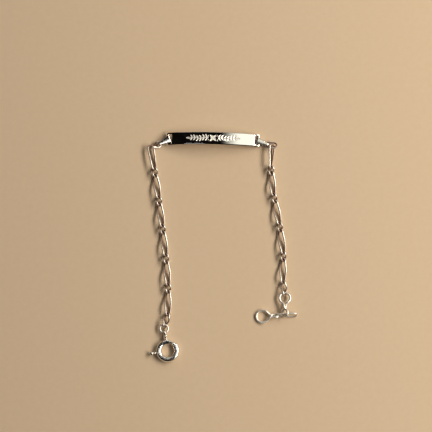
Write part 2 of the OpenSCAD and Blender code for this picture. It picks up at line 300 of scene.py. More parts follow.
def shade_and_tarnish_group():
    """Mask of the brown-grey darkening from a value given per point: painted shade on the wires' inner
    flanks and joints, partly tarnish at the joints, with a fine mottle.
    """
    group, start, end = new_group(
        "painted shade and tarnish",
        [("Vector", "NodeSocketVector", None), ("Shade and tarnish", "NodeSocketFloat", 0.0)],
        [("Mask", "NodeSocketFloat")],
    )
    mottle = noise(group, start.outputs["Vector"], 900.0, 4.0, 0.6)
    raised = math_node(group, "ADD", start.outputs["Shade and tarnish"], math_node(group, "MULTIPLY", mottle, 0.5))
    group.links.new(ramp(group, raised, 0.42, 1.0), end.inputs["Mask"])
    return group


WEAR = handling_wear_group()
SHADE_AND_TARNISH = shade_and_tarnish_group()


def add_scaled(tree, base, value, factor, clamp=False):
    """base + value * factor."""
    return math_node(tree, "ADD", base, math_node(tree, "MULTIPLY", value, factor), clamp)


def silver(name, clean, shade_tarnish_colour, roughness, smudged, scratches, undulation, shade_and_tarnish=None, cut=None):
    """Sterling silver. Painted shade, partly tarnish, and smudges vary its colour and roughness, scratches
    its normal.

    The attribute named for darkening is 1 where painted shade darkens the metal, partly tarnish, and cut
    names one that is 1 in engraved lines, which are frosted."""
    material = bpy.data.materials.new(name)
    material.use_nodes = True
    tree = material.node_tree
    shader = tree.nodes["Principled BSDF"]
    shader.inputs["Metallic"].default_value = 1.0
    place = tree.nodes.new("ShaderNodeTexCoord").outputs["Object"]
    wear = tree.nodes.new("ShaderNodeGroup")
    wear.node_tree = WEAR
    wear.inputs["Scratches"].default_value = scratches
    tree.links.new(place, wear.inputs["Vector"])
    darkening = tree.nodes.new("ShaderNodeGroup")
    darkening.node_tree = SHADE_AND_TARNISH
    tree.links.new(place, darkening.inputs["Vector"])
    if shade_and_tarnish:
        darkening_attribute = tree.nodes.new("ShaderNodeAttribute")
        darkening_attribute.attribute_name = shade_and_tarnish
        tree.links.new(darkening_attribute.outputs["Fac"], darkening.inputs["Shade and tarnish"])
    # The mask blends the clean colour to the dark one: painted shade, partly tarnish
    colour = tree.nodes.new("ShaderNodeMix")
    colour.data_type = "RGBA"
    colour.inputs["A"].default_value = (*clean, 1.0)
    colour.inputs["B"].default_value = (*shade_tarnish_colour, 1.0)
    tree.links.new(darkening.outputs["Mask"], colour.inputs["Factor"])
    rough = ramp(tree, wear.outputs["Smudge"], 0.0, 1.0, roughness, smudged)
    rough = add_scaled(tree, rough, darkening.outputs["Mask"], 0.22)
    rough = add_scaled(tree, rough, wear.outputs["Scratch"], 0.12, clamp=True)
    if cut:
        groove = tree.nodes.new("ShaderNodeAttribute")
        groove.attribute_name = cut
        frost = ramp(tree, groove.outputs["Fac"], 0.05, 0.35)
        rough = add_scaled(tree, rough, frost, 0.6, clamp=True)
    tree.links.new(rough, shader.inputs["Roughness"])
    tree.links.new(colour.outputs["Result"], shader.inputs["Base Color"])
    waves = math_node(tree, "MULTIPLY", noise(tree, place, 650.0, 1.0), undulation)
    height = math_node(tree, "SUBTRACT", waves, math_node(tree, "MULTIPLY", wear.outputs["Scratch"], 0.05))
    bump = tree.nodes.new("ShaderNodeBump")
    bump.inputs["Strength"].default_value = 1.0
    bump.inputs["Distance"].default_value = 0.02 * MM
    tree.links.new(height, bump.inputs["Height"])
    tree.links.new(bump.outputs["Normal"], shader.inputs["Normal"])
    return material


CLEAN = (0.93, 0.905, 0.86)
# Dull pinkish brown: the colour of the painted shade on the wires, and of tarnish
SHADE_AND_TARNISH_COLOUR = (0.29, 0.185, 0.14)
# Name, clean colour and the dark colour of painted shade and tarnish, roughness clean and smudged,
# scratches, undulation, attributes
PLATE_SILVER = silver("mirror polished plate", CLEAN, SHADE_AND_TARNISH_COLOUR, 0.05, 0.11, 0.5, 0.35, cut="cut")
BAIL_SILVER = silver("bail sheet silver", CLEAN, SHADE_AND_TARNISH_COLOUR, 0.18, 0.28, 0.8, 0.8)
LINK_SILVER = silver("worn link silver", CLEAN, SHADE_AND_TARNISH_COLOUR, 0.36, 0.5, 0.5, 1.2, shade_and_tarnish="shade_and_tarnish")
RING_SILVER = silver("ring wire silver", CLEAN, SHADE_AND_TARNISH_COLOUR, 0.46, 0.6, 0.5, 1.2, shade_and_tarnish="shade_and_tarnish")
CLASP_SILVER = silver("drawn tube silver", CLEAN, SHADE_AND_TARNISH_COLOUR, 0.22, 0.32, 0.8, 0.8)


# Name plate
def plate_axis_z():
    """Height of the axis that the plate is bent about, from the height of its ends' undersides."""
    inner = PLATE_CURVE - PLATE_THICKNESS
    return BAIL_SHEET + PLATE_PLAY - math.sqrt(inner ** 2 - (PLATE_LENGTH / 2) ** 2)


SLOT_X = PLATE_LENGTH / 2 - SLOT_RIM
RIM_TOP_Z = plate_axis_z() + math.sqrt(PLATE_CURVE ** 2 - SLOT_X ** 2)


def box_distance(x, y, half_x, half_y, r):
    """Distance inside the outline of a rounded rectangle: positive inside it, negative outside."""
    qx, qy = np.abs(x) - (half_x - r), np.abs(y) - (half_y - r)
    outside = np.hypot(np.maximum(qx, 0), np.maximum(qy, 0))
    return r - outside - np.minimum(np.maximum(qx, qy), 0)


def chamfer(distance, size):
    """How far a bevelled edge lies below the face: size - distance, with its two corners softened."""
    x = size - distance
    soft = 0.03
    return np.where(distance > size + 6 * soft, 0, 0.5 * (x + np.sqrt(x * x + soft * soft)) - soft * 0.1)


def leaf(x, y, at, angle, length, half_width, belly=0.0):
    """Depth of an engraved leaf, 0 to 1: a V cut whose width swells as sin(pi s) along the leaf."""
    a = math.radians(angle)
    dx, dy = x - at[0], y - at[1]
    s = (dx * math.cos(a) + dy * math.sin(a)) / length
    bend = belly * np.sin(math.pi * np.clip(s, 0, 1))
    t = -dx * math.sin(a) + dy * math.cos(a) - bend
    half = half_width * np.sin(math.pi * np.clip(s, 0, 1) ** 0.8) ** 0.7
    return np.where((s > 0) & (s < 1), np.clip(1 - np.abs(t) / np.maximum(half, 1e-3), 0, 1), 0)


# The flower: length and half width of its petals and sepals, radius and half width of its ring
PETAL, SEPAL, FLOWER_RING = (1.12, 0.34), (0.62, 0.1), (0.15, 0.07)
# Share of the full depth to which the stems and the sepals are cut
STEM_DEPTH, SEPAL_DEPTH = 0.8, 0.7
# The sprigs: where a stem starts and ends, its half width, and its wave's height, start and length
STEM_FROM, STEM_TO, STEM_HALF = 1.25, 6.55, 0.13
WAVE_HEIGHT, WAVE_FROM, WAVE_LENGTH = 0.16, 1.2, 3.1
# The leaf pairs: count, first place, step, angle, length, shortening per pair, half width, belly
LEAF_PAIRS, LEAF_FROM, LEAF_STEP, LEAF_ANGLE = 6, 1.5, 0.8, 54
LEAF_LENGTH, LEAF_SHORTER, LEAF_HALF, LEAF_BELLY = 1.026, 0.0285, 0.23, 0.06
# The leaf at a stem's tip: its place, length and half width. The dots: their place and radius
TIP_AT, TIP_LEAF = (6.15, 0.03), (1.0, 0.22)
DOT_AT, DOT_R = (1.18, 0.55), 0.13


def stem_height(x):
    """Height of a stem at x: a gentle sine wave that is the same on both sides."""
    return WAVE_HEIGHT * np.sin((np.abs(x) - WAVE_FROM) * 2 * math.pi / WAVE_LENGTH)


def ornament(x, y):
    """Depth map of the engraving: a four-petal flower between two mirrored sprigs of leaves.

    Every stroke is a V cut, and where two meet the deeper one counts."""
    ax = np.abs(x)
    on_stem = (ax > STEM_FROM) & (ax < STEM_TO)
    strokes = [
        np.clip(1 - np.abs(np.hypot(x, y) - FLOWER_RING[0]) / FLOWER_RING[1], 0, 1),
        STEM_DEPTH * np.clip(1 - np.abs(y - stem_height(x)) / STEM_HALF, 0, 1) * on_stem,
        leaf(ax, y, TIP_AT, 0, *TIP_LEAF),
    ]
    for k in range(4):
        strokes.append(leaf(x, y, (0, 0), 45 + 90 * k, *PETAL))
        strokes.append(SEPAL_DEPTH * leaf(x, y, (0, 0), 90 * k, *SEPAL))
    for side in (1, -1):
        for k in range(LEAF_PAIRS):
            at = LEAF_FROM + LEAF_STEP * k
            length = LEAF_LENGTH - LEAF_SHORTER * k
            strokes.append(leaf(ax, y, (at, stem_height(at)), side * LEAF_ANGLE, length, LEAF_HALF,
                                side * LEAF_BELLY))
        strokes.append(np.clip(1 - np.hypot(ax - DOT_AT[0], y - side * DOT_AT[1]) / DOT_R, 0, 1))
    return np.maximum.reduce(strokes)


ENGRAVED_TO = 7.3
ENGRAVED_STEPS, PLAIN_STEPS = 149, 32
# Lines of the plate's grid from the middle of a slot to its side, and the strip along the plate's
# edge that they stay out of
SLOT_LINES, EDGE_STRIP = 25, 0.45


def plate_columns():
    """Positions along the plate: close together at edges, slots and the engraving."""
    edge = [0, .015, .03, .06, .09, .12, .14, .16, .18, .21, .26, .32, .36, .39, .405]
    rim = SLOT_RIM
    slot_edge = [0, .01, .03, .07, .12, .2]
    slot = [rim + e for e in slot_edge] + [rim + SLOT_WIDTH / 2]
    slot += [rim + SLOT_WIDTH - e for e in slot_edge[::-1]]
    after = [rim + SLOT_WIDTH + e for e in (.015, .03, .06, .1, .16)]
    from_end = np.array(edge + slot + after)
    start = PLATE_LENGTH / 2 - from_end[-1]
    plain = np.linspace(start, ENGRAVED_TO, PLAIN_STEPS)[1:]
    engraved = np.linspace(ENGRAVED_TO, 0, ENGRAVED_STEPS)[1:]
    half = np.concatenate([PLATE_LENGTH / 2 - from_end, plain, engraved])
    return np.concatenate([half, -half[:-1][::-1]])[::-1]


def plate_half_width(x):
    """Half the plate's width: less over the last part, where the corners are round."""
    past = np.clip(np.abs(x) - (PLATE_LENGTH / 2 - PLATE_CORNER), 0, PLATE_CORNER)
    return PLATE_WIDTH / 2 - PLATE_CORNER + np.sqrt(np.maximum(PLATE_CORNER ** 2 - past ** 2, 0))


def slot_half_length(x):
    """Half the length of a slot at x, rounded at its corners, and its end value outside the slot."""
    from_middle = np.abs(np.abs(x) - (SLOT_X - SLOT_WIDTH / 2))
    past = np.clip(from_middle - (SLOT_WIDTH / 2 - SLOT_CORNER), 0, SLOT_CORNER)
    return SLOT_LENGTH / 2 - SLOT_CORNER + np.sqrt(np.maximum(SLOT_CORNER ** 2 - past ** 2, 0))


def build_plate():
    """The plate: a grid whose lines follow its outline and slots, lifted onto the bend.

    Top height = axis + sqrt((R - drop)^2 - x^2), where drop adds the bevels and the engraving."""
    x = plate_columns()
    half = plate_half_width(x)
    slot = np.minimum(slot_half_length(x), half - EDGE_STRIP)
    inner = np.linspace(0, 1, SLOT_LINES)[:, None] * slot
    by_slot = slot + np.array([.012, .03, .06, .1])[:, None]
    edge = half - np.array([.34, .26, .21, .18, .16, .14, .12, .09, .06, .03, .015, 0])[:, None]
    upper = np.concatenate([inner, by_slot, edge])
    y = np.concatenate([-upper[:0:-1], upper]).T
    x = np.broadcast_to(x[:, None], y.shape)
    rows, columns = y.shape
    from_edge = box_distance(x, y, PLATE_LENGTH / 2, PLATE_WIDTH / 2, PLATE_CORNER)
    slot_at = SLOT_X - SLOT_WIDTH / 2
    from_slot = -box_distance(np.abs(x) - slot_at, y, SLOT_WIDTH / 2, SLOT_LENGTH / 2, SLOT_CORNER)
    cut = ornament(x, y)
    from_slot = np.maximum(from_slot, 0)
    drop = chamfer(from_edge, PLATE_BEVEL) + chamfer(from_slot, SLOT_BEVEL) + CUT_DEPTH * cut
    under = chamfer(from_edge, UNDER_BEVEL) + chamfer(from_slot, UNDER_SLOT_BEVEL)
    z_axis = plate_axis_z()
    top = z_axis + np.sqrt((PLATE_CURVE - drop) ** 2 - x ** 2)
    bottom = z_axis + np.sqrt((PLATE_CURVE - PLATE_THICKNESS + under) ** 2 - x ** 2)
    faces_xyz = [np.stack([x, y, z], -1).reshape(-1, 3) for z in (top, bottom)]
    verts = np.concatenate(faces_xyz)
    verts = turned(verts, PLATE_TURN) + PLATE_AT

    quads = grid_quads(rows, columns)
    mid_x = (x[:-1, :-1] + x[1:, 1:]) / 2
    in_slot = np.abs(np.abs(mid_x) - slot_at) < SLOT_WIDTH / 2
    middle = columns // 2
    k = np.arange(columns - 1)
    across_slot = (k >= middle - SLOT_LINES + 1) & (k < middle + SLOT_LINES - 1)
    keep = ~(in_slot & across_slot[None])
    count = rows * columns
    faces = [quads[keep.reshape(-1)][:, ::-1], quads[keep.reshape(-1)] + count]
    padded = np.pad(keep, 1)
    index = np.arange(count).reshape(rows, columns)
    a, b, c, d = index[:-1, :-1], index[:-1, 1:], index[1:, 1:], index[1:, :-1]
    for gone, p, q in (
        (~padded[1:-1, :-2], a, d),
        (~padded[1:-1, 2:], c, b),
        (~padded[:-2, 1:-1], b, a),
        (~padded[2:, 1:-1], d, c),
    ):
        edge_cells = keep & gone
        p, q = p[edge_cells], q[edge_cells]
        faces.append(np.stack([p + count, q + count, q, p], -1))
    faces = np.concatenate(faces)
    cut_value = np.concatenate([cut.reshape(-1), np.zeros(count)])
    used = np.zeros(2 * count, bool)
    used[faces.reshape(-1)] = True
    faces = (np.cumsum(used) - 1)[faces].tolist()
    make_piece("engraved_name_plate", [(verts[used], faces)], PLATE_SILVER, BODY,
               ["name_plate"], {"cut": cut_value[used]})


# Bails
CHAIN_FOLD = WIRE_R + CHAIN_FOLD_PLAY + BAIL_SHEET / 2
CHAIN_FOLD_Z = BAIL_SHEET / 2 + CHAIN_FOLD
SLOT_FOLD_TOP = RIM_TOP_Z + SLOT_FOLD_PLAY + BAIL_SHEET / 2
# Name, direction from the slot, sideways lean of the chain end, side of the plate
BAILS = [("left_bail", 198, 9, -1), ("right_bail", -13, -9, 1)]


def bail_outline(steps=14):
    """Middle line of a bail seen from the side: the chain fold, and the two folds in the slot."""
    across = np.array([SLOT_FOLD - BAIL_REACH, SLOT_FOLD_TOP - SLOT_FOLD - CHAIN_FOLD_Z])
    length = np.linalg.norm(across)
    slope = math.degrees(math.atan2(across[1], across[0])) - 90
    slope += math.degrees(math.asin((CHAIN_FOLD - SLOT_FOLD) / length))

    def arc(centre, r, start, stop, count):
        t = np.radians(np.linspace(start, stop, count))
        return np.array(centre) + r * np.stack([np.cos(t), np.sin(t)], -1)

    corners = [
        arc((BAIL_REACH, CHAIN_FOLD_Z), CHAIN_FOLD, -90, slope, 2 * steps),
        arc((SLOT_FOLD, SLOT_FOLD_TOP - SLOT_FOLD), SLOT_FOLD, slope, 180, steps),
        arc((SLOT_FOLD, BAIL_SHEET / 2 + SLOT_FOLD), SLOT_FOLD, 180, 270, steps),
    ]
    runs = []
    for one, two in zip(corners, corners[1:] + corners[:1]):
        runs += [one, mix(one[-1], two[0], np.linspace(0, 1, 14)[1:-1, None])]
    return np.concatenate(runs)


def bail_origin(side):
    """Middle of a slot fold on the surface."""
    return PLATE_AT + turned([side * (SLOT_X - FOLD_FROM_RIM), 0, 0], PLATE_TURN)


def build_bail(name, turn, lean, side):
    """A strap with rounded edges, carried round the bail's outline. It narrows towards the chain."""
    path = bail_outline()
    x = path[:, 0]
    width = mix(BAIL_WIDE, BAIL_NARROW, np.clip(x / BAIL_REACH, 0, 1)) / 2
    shift = np.minimum(x, BAIL_REACH) * math.tan(math.radians(lean))
    t = tangents(path, True)
    normal = np.stack([-t[:, 1], t[:, 0]], -1)
    profile = rounded_box(BAIL_SHEET / 2, width, BAIL_EDGE)
    out = profile[..., 0]
    across = profile[..., 1] + shift[:, None]
    verts = np.stack([x[:, None] + out * normal[:, :1], across, path[:, 1:] + out * normal[:, 1:]], -1)
    verts = turned(verts.reshape(-1, 3), turn) + bail_origin(side)
    faces = grid_quads(len(path), profile.shape[1], True, True)[:, ::-1].tolist()
    make_piece(name + "_strap", [(verts, faces)], BAIL_SILVER, BODY, [name])


# Chains
# Length, direction, roll at the first end, roll at the last end. At the corners also how far the
# link's two ends lie past the joints there, and how much its last end is raised
LEFT = [
    (LEFT_FIRST, -155, 2, 72, BAIL_PAST, 0.09, 0.15),
    (LONG, -80, -12, -CURB, 0.6, PAST),
    (SHORT, -84, CURB, -CURB),
    (LONG, -80.5, CURB, -CURB),
    (SHORT, -85, CURB, -CURB, PAST, 0.38),
    (LONG, -82, CURB, -CURB, 0.38, PAST),
    (SHORT, -84, CURB, -CURB),
    (LONG, -83, CURB, -CURB),
    (SHORT, -85, CURB, -CURB),
    (LONG, -85.4, CURB, -CURB),
    (SHORT, -88, CURB, -CURB),
    (LONG, -91, CURB, -CURB),
    (END, -104, CURB, -59),
]
RIGHT = [
    (RIGHT_FIRST, -6, 0, -13, BAIL_PAST, 1.18, 0.5),
    (LONG, -94.2, -35, -68, 0.09, 0.4),
    (SHORT, -84, 25, -CURB, 0.4, 0.5),
    (LONG, -84.5, CURB, -CURB, 0.5, PAST),
    (SHORT, -79, CURB, -CURB),
    (LONG, -79, CURB, -CURB),
    (SHORT, -83, CURB, -CURB),
    (LONG, -82.5, CURB, -CURB),
    (SHORT, -91, CURB, -CURB),
    (LONG, -91, CURB, -CURB),
    (END, -82, CURB, -60),
]
PLAIN_ENDS = (PAST, PAST, 0.0)
# How much of a link's twist follows a smooth step, and the rest runs evenly
TWIST_STEP = 0.6
# How much painted shade darkens a link's inner side, and the share of the link's painted shade and tarnish
# in the extender
SIDE_PAINTED_SHADE, EXTENDER_SHADE_SHARE = 0.85, 0.5


def resting(roll):
    """Height of a link end's middle when it rests on the surface, rolled out of the flat."""
    return WIRE_R + HALF_WIDTH * abs(math.sin(math.radians(roll)))


def inner_side(around, turn=0.0):
    """1 on the side of a wire that faces into its loop and 0 outside, over the points round it."""
    angle = np.arange(around) / around * 2 * math.pi + math.radians(turn)
    return 0.5 - 0.5 * np.sin(angle)


def stadium(length, width, ends, sides):
    """Outline of a link: two half circles and two straight sides, counter-clockwise from its far end."""
    r = width / 2
    far = np.radians(np.linspace(-90, 90, ends))
    near = far + math.pi
    run = np.linspace(length - r, r, sides)[1:-1]
    parts = [
        np.stack([length - r + r * np.cos(far), r * np.sin(far)], -1),
        np.stack([run, np.full_like(run, r)], -1),
        np.stack([r + r * np.cos(near), r * np.sin(near)], -1),
        np.stack([run[::-1], np.full_like(run, -r)], -1),
    ]
    return np.concatenate(parts)


def link_wire(start, turn, length, width, rolls, heights, wire_r, ends=13, sides=17, around=16):
    """A twisted link: its flat outline is rolled about its long axis, from one roll to the other.

    x' = x, y' = y cos roll, z' = height + y sin roll."""
    p = stadium(length, width, ends, sides)
    t = (p[:, 0] - width / 2) / (length - width)
    roll = np.radians(mix(rolls[0], rolls[1], mix(np.clip(t, 0, 1), smooth(t), TWIST_STEP)))
    z = mix(heights[0], heights[1], p[:, 0] / length)
    path = np.stack([p[:, 0], p[:, 1] * np.cos(roll), z + p[:, 1] * np.sin(roll)], -1)
    across = np.stack([np.zeros_like(roll), -np.sin(roll), np.cos(roll)], -1)
    verts, faces = sweep(path, across, circle(wire_r, around))
    verts = turned(verts.reshape(-1, 3), turn) + start
    # Painted shade: the wire's inner side, and all round it towards the two ends, where it is partly
    # tarnish
    inner = inner_side(around)[None]
    near_end = 1 - np.clip(np.minimum(p[:, 0], length - p[:, 0]) / END_SHADE_AND_TARNISH_REACH, 0, 1)[:, None]
    shade_and_tarnish = np.maximum(near_end * (0.5 + 0.5 * inner), SIDE_PAINTED_SHADE * inner)
    return verts, faces, shade_and_tarnish


def build_chain(side, bail, rows):
    """Every link of one chain, each hanging in the one before it. Gives the chain's end and heading."""
    _, turn, lean, which = bail
    fold = np.array([BAIL_REACH, BAIL_REACH * math.tan(math.radians(lean)), 0])
    joint = bail_origin(which) + turned(fold, turn) + direction(rows[0][1]) * PAST
    z = CHAIN_FOLD_Z
    for i, row in enumerate(rows):
        length, heading, roll_in, roll_out = row[:4]
        past_in, past_out, rise = row[4:] + PLAIN_ENDS[len(row) - 4:]
        start = joint - direction(heading) * past_in
        z_next = resting(roll_out)
        if i + 1 < len(rows):
            z_next = max(z_next, resting(rows[i + 1][2])) + rise
        verts, faces, shade_and_tarnish = link_wire(start, heading, length, LINK_WIDTH, (roll_in, roll_out),
                                            (z, z_next), WIRE_R - SKIN)
        name = f"{side}_link_{i + 1}"
        make_piece(name + "_wire", [(verts, faces)], LINK_SILVER, BODY, [name],
                   {"shade_and_tarnish": shade_and_tarnish})
        joint = joint + direction(heading) * (length - past_in - past_out)
        z = z_next
    return start + direction(heading) * length


# Rings and extender link
# Points round a ring's wire, points along the arcs and the straight runs of a figure of eight, and
# how often each point of its path is averaged with its neighbours
JUMP_AROUND, EIGHT_AROUND = 20, 18
ARC_POINTS, RUN_POINTS, ROUNDING_PASSES = 57, 20, 4
# How much painted shade darkens a ring wire's inner side
RING_PAINTED_SHADE = 0.25


def build_jump_ring(at):
    """A round wire ring that was opened and pressed shut, with a hairline gap."""
    a = np.radians(np.linspace(141, 500, 72))
    path = np.stack([JUMP_R * np.cos(a), JUMP_R * np.sin(a), np.zeros_like(a)], -1) + at
    across = np.stack([np.cos(a), np.sin(a), np.zeros_like(a)], -1)
    verts, faces = sweep(path, across, circle(WIRE_R, JUMP_AROUND), closed=False)
    # Painted shade on the ring wire's inner side
    inner = np.broadcast_to(inner_side(JUMP_AROUND, 90), (len(path), JUMP_AROUND))
    make_piece("jump_ring_wire", [(verts, faces)], RING_SILVER, BODY, ["jump_ring"],
               {"shade_and_tarnish": RING_PAINTED_SHADE * inner})


def eight_wire(at, turn, big, small, span, close, roll, heights):
    """A figure of eight: two arcs joined by straight runs that cross, one over the other.

    At close = 1 the runs touch the arcs, and less closes the loops to rounder rings. Each run is
    lifted by lift (1 - t^(2 - close)), where t goes from 0 at the crossing to 1 at an arc, so that
    the wire doesn't cut itself. The path's corners are rounded by averaging neighbours."""
    open_angle = close * math.degrees(math.acos((big + small) / span))
    a = np.radians(np.linspace(open_angle, 360 - open_angle, ARC_POINTS))
    b = np.radians(np.linspace(180 - open_angle, open_angle - 180, ARC_POINTS))
    one = np.stack([big * np.cos(a), big * np.sin(a)], -1)
    two = np.stack([span + small * np.cos(b), small * np.sin(b)], -1)
    f = np.linspace(0, 1, RUN_POINTS + 2)[1:-1]
    to_small, to_big = mix(one[-1], two[0], f[:, None]), mix(two[-1], one[0], f[:, None])
    path = np.concatenate([one, to_small, two, to_big])
    crossing = big / (big + small)
    from_crossing = np.where(f < crossing, 1 - f / crossing, (f - crossing) / (1 - crossing))
    hump = (1 - from_crossing ** (2 - close)) * (EIGHT_WIRE_R + EIGHT_LIFT)
    zero = np.zeros(ARC_POINTS)
    rise = np.concatenate([zero, hump, zero, -hump[::-1]])
    for _ in range(ROUNDING_PASSES):
        path = (np.roll(path, 1, 0) + 2 * path + np.roll(path, -1, 0)) / 4
        rise = (np.roll(rise, 1) + 2 * rise + np.roll(rise, -1)) / 4
    x, y = path[:, 0], path[:, 1]
    tilt = np.radians(roll * np.clip((x - big) / (span - small - big), 0, 1))
    z = mix(*heights, (x + big) / (span + big))
    wire = np.stack([
        x,
        y * np.cos(tilt) - rise * np.sin(tilt),
        z + y * np.sin(tilt) + rise * np.cos(tilt),
    ], -1)
    # The lower run lies on the surface, and never under it
    wire[:, 2] = np.maximum(wire[:, 2], EIGHT_WIRE_R)
    across = np.stack([np.zeros_like(x), -np.sin(tilt), np.cos(tilt)], -1)
    verts, faces = sweep(wire, across, circle(EIGHT_WIRE_R - SKIN, EIGHT_AROUND))
    # Painted shade on the inner side of both loops
    # The path runs the other way round the small loop, so its inner side is the other one
    small_loop = np.concatenate([zero, f, zero + 1, 1 - f])[:, None]
    inner = mix(inner_side(EIGHT_AROUND)[None], inner_side(EIGHT_AROUND, 180)[None], small_loop)
    return turned(verts.reshape(-1, 3), turn) + at, faces, RING_PAINTED_SHADE * inner


def build_right_end(chain_end, heading):
    """The figure-eight ring, the extender link in it, and the end ring in the extender link."""
    at = chain_end - direction(heading) * EIGHT_PAST + direction(heading + 90) * EIGHT_ASIDE
    at = at + direction(EIGHT_TURN) * EIGHT_BIG
    verts, faces, shade_and_tarnish = eight_wire(at, EIGHT_TURN, EIGHT_BIG, EIGHT_SMALL, EIGHT_SPAN,
                                         EIGHT_CLOSE, EIGHT_ROLL, EIGHT_Z)
    make_piece("figure_eight_wire", [(verts, faces)], RING_SILVER, BODY, ["figure_eight_ring"],
               {"shade_and_tarnish": shade_and_tarnish})
    at = at + direction(EIGHT_TURN) * EIGHT_SPAN + EXTENDER_FROM_EIGHT
    z = WIRE_R + EXTENDER_WIDTH / 2 * abs(math.sin(math.radians(EXTENDER_ROLL)))
    start = at - direction(EXTENDER_TURN) * EXTENDER / 2
    verts, faces, shade_and_tarnish = link_wire(start, EXTENDER_TURN, EXTENDER, EXTENDER_WIDTH,
                                        (EXTENDER_ROLL, EXTENDER_ROLL), (z, z), WIRE_R - SKIN)
    # The extender's wire gets a share of a link's painted shade and tarnish
    make_piece("extender_link_wire", [(verts, faces)], LINK_SILVER, BODY, ["extender_link"],
               {"shade_and_tarnish": shade_and_tarnish * EXTENDER_SHADE_SHARE})
    at = at + direction(EXTENDER_TURN) * EXTENDER / 2 + END_FROM_EXTENDER - direction(END_TURN) * END_SPAN
    verts, faces, shade_and_tarnish = eight_wire(at, END_TURN, END_BIG, END_SMALL, END_SPAN,
                                         END_CLOSE, END_ROLL, END_Z)
    make_piece("end_ring_wire", [(verts, faces)], RING_SILVER, BODY, ["end_ring"],
               {"shade_and_tarnish": shade_and_tarnish})


# Clasp
TUBE_AROUND = 40
# The eye's neck: how far outside the bore it starts, half its height at the tube and at the eye,
# and the height of its middle at the tube
NECK_FROM, NECK_TALL, NECK_LOW = 0.13, (0.5, 0.3), 0.06


def ring_place(at, angle, radial, tangential, height):
    """Point of the clasp given by its angle, distance from the centre, offset along the ring, height."""
    a = np.radians(angle)
    out = np.stack([np.cos(a), np.sin(a), np.zeros_like(a)], -1)
    along = np.stack([-np.sin(a), np.cos(a), np.zeros_like(a)], -1)
    up = np.array([0, 0, 1.0])
    return at + radial[..., None] * out + tangential[..., None] * along + height[..., None] * up


def tube_stations():
    """Angles along the tube: even steps, closer at its two lips and at the ends of the trigger slot."""
    lip = np.array([0, .05, .15, .3, .5, .8, 1.2, 1.7])
    low, high = TRIGGER_SLOT
    ends = np.array([0, .08, .3, .7, 1.2, 1.9, 2.8, 3.8, TRIGGER_SLOT_END])
    return np.unique(np.concatenate([
        GAP_TO + lip, np.arange(GAP_TO + 4, low - 1, 3.0), low + ends,
        np.arange(low + 7, high - 6, 3.0), high - ends,
        np.arange(high + 2, 360 + GAP_FROM - 3, 3.0), 360 + GAP_FROM - lip,
    ]))


def quarter_round(t):
    """A quarter circle's height, sqrt(1 - (1 - t)^2), for t held between 0 and 1."""
    return np.sqrt(np.clip(1 - (1 - np.clip(t, 0, 1)) ** 2, 0, 1))


def build_tube(at):
    """The bent tube: its section is a ring that opens into a C where the trigger slot runs.

    The slot's half height is a quarter ellipse over its ends, and the lips of the tube are rounded."""
    angle = tube_stations()
    low, high = TRIGGER_SLOT
    nearest = np.minimum(angle - low, high - angle)
    half = TRIGGER_SLOT_HALF * quarter_round(nearest / TRIGGER_SLOT_END)
    from_lip = np.radians(np.minimum(angle - GAP_TO, 360 + GAP_FROM - angle)) * CLASP_R
    fillet = LIP_ROUND * (1 - quarter_round(from_lip / LIP_ROUND))
    outer_r, inner_r = TUBE_R - fillet, BORE_R + fillet * 0.5
    f = np.linspace(0, 1, TUBE_AROUND + 1)[None]

    def section(r):
        opening = np.arcsin(half / r)[:, None]
        v = opening + f * (2 * math.pi - 2 * opening)
        r = r[:, None]
        return ring_place(at, angle[:, None] + 0 * v, CLASP_R + r * np.cos(v), 0 * v, r * np.sin(v))

    outer, inner = section(outer_r), section(inner_r)
    rows, columns = len(angle), TUBE_AROUND + 1
    count = rows * columns
    verts = np.concatenate([outer.reshape(-1, 3), inner.reshape(-1, 3)])
    quads = grid_quads(rows, columns)
    faces = [quads[:, ::-1], quads + count]
    index = np.arange(count).reshape(rows, columns)
    slotted = (half[:-1] > 0) | (half[1:] > 0)
    i = np.arange(rows - 1)[slotted]
    low_o, low_next = index[i, 0], index[i + 1, 0]
    high_o, high_next = index[i, -1], index[i + 1, -1]
    faces.append(np.stack([low_o, low_o + count, low_next + count, low_next], -1)[:, ::-1])
    faces.append(np.stack([high_o, high_next, high_next + count, high_o + count], -1)[:, ::-1])
    first, last = index[0], index[-1]
    faces.append(np.stack([first[:-1], first[:-1] + count, first[1:] + count, first[1:]], -1)[:, ::-1])
    faces.append(np.stack([last[:-1], last[1:], last[1:] + count, last[:-1] + count], -1)[:, ::-1])
    return verts, np.concatenate(faces).tolist()


def build_eye(at):
    """The soldered eye: a flat ring with rounded edges stood on edge, and its neck from the tube."""
    middle = (EYE_R + EYE_HOLE_R) / 2
    a = np.radians(np.arange(0, 360, 7.5))
    radial = EYE_REACH + middle * np.cos(a)
    height = EYE_R - TUBE_R + middle * np.sin(a)
    path = ring_place(at, np.full_like(a, EYE_ANGLE), radial, 0 * a, height)
    across = ring_place(0 * at, np.full_like(a, EYE_ANGLE), np.cos(a), 0 * a, np.sin(a))
    ring = sweep(path, across, rounded_box((EYE_R - EYE_HOLE_R) / 2, EYE_THICKNESS / 2, EYE_EDGE))
    reach = np.linspace(CLASP_R + BORE_R + NECK_FROM, EYE_REACH - EYE_HOLE_R - EYE_EDGE, 12)
    f = np.linspace(0, 1, 12)
    tall = mix(*NECK_TALL, smooth(f * 1.3))
    centre = mix(NECK_LOW, EYE_R - TUBE_R, f)
    path = ring_place(at, np.full_like(f, EYE_ANGLE), reach, 0 * f, centre)
    up = np.broadcast_to([0, 0, 1.0], path.shape)
    neck = sweep(path, up, rounded_box(tall, EYE_THICKNESS / 2, EYE_EDGE), closed=False)
    return [ring, neck]


# Distance from the clasp's centre and radius along the trigger's stem, with the collar on it
STEM = [(CLASP_R, TRIGGER_R), (3.1, TRIGGER_R), (3.14, .3), (3.2, .4), (3.28, .44), (3.36, .4), (3.42, .3),
        (3.5, .22)]


